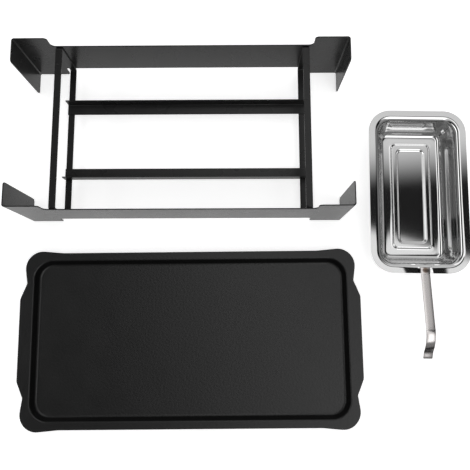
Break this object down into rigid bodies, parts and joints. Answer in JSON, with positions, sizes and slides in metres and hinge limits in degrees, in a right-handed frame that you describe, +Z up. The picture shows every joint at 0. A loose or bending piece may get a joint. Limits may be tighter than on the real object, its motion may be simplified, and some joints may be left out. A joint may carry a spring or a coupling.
{
  "type": "portable charcoal grill",
  "caption": "Portable charcoal grill taken apart: folded sheet-steel stand with tray rails, flat coated griddle plate and a drawn charcoal tray with a strip handle.",
  "frame": {"origin": "middle of the footprint of the whole laid-out set, on the table", "axes": "+X to the right along the stand and the griddle, +Y from the griddle towards the stand, +Z up from the table"},
  "size_m": [0.6328, 0.524, 0.108],
  "materials": {
    "powder_coated_steel": "fine matt powder coat",
    "nonstick_aluminium": "pebbled non-stick coating",
    "polished_stainless": "mirror polished",
    "brushed_stainless": "satin strip"
  },
  "bodies": {
    "stand": {"front_side_plate": "powder_coated_steel", "back_side_plate": "powder_coated_steel", "left_end_hoop": "powder_coated_steel", "right_end_hoop": "powder_coated_steel", "front_tray_rail": "powder_coated_steel", "back_tray_rail": "powder_coated_steel"},
    "griddle": {"griddle_plate": "nonstick_aluminium"},
    "tray": {"charcoal_tray": "polished_stainless", "tray_handle": "brushed_stainless"}
  },
  "joints": [
    {"name": "griddle_lift", "type": "slide", "parent": "stand", "child": "griddle", "axis": [0, 0, 1], "range_m": [0, 0.12]},
    {"name": "tray_slide", "type": "slide", "parent": "stand", "child": "tray", "axis": [-0.0192, -0.9998, 0], "range_m": [0, 0.232]}
  ]
}
